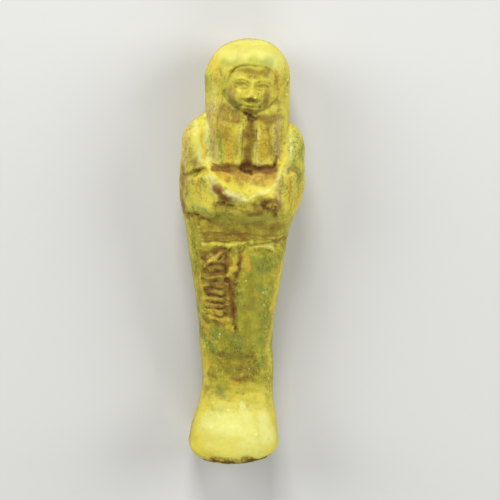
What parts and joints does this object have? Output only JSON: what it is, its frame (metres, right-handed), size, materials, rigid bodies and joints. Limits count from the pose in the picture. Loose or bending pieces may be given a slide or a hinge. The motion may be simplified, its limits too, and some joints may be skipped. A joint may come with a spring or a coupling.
{
  "type": "ushabti figurine",
  "caption": "Mummy-shaped glazed faience funerary figure with wig, false beard, crossed forearms and worn strokes, lying on its flattened back.",
  "frame": {"origin": "centre of the bounding box at its underside, on the plane that the flattened back lies on", "axes": "+Y towards the crown of the head, +Z out of the face, -X towards the figure's own right arm"},
  "size_m": [0.0354, 0.12, 0.0252],
  "materials": {
    "glazed_faience": "satin yellow-green glaze, worn and stained brown"
  },
  "bodies": {
    "root": {"ushabti": "glazed_faience"}
  },
  "joints": []
}
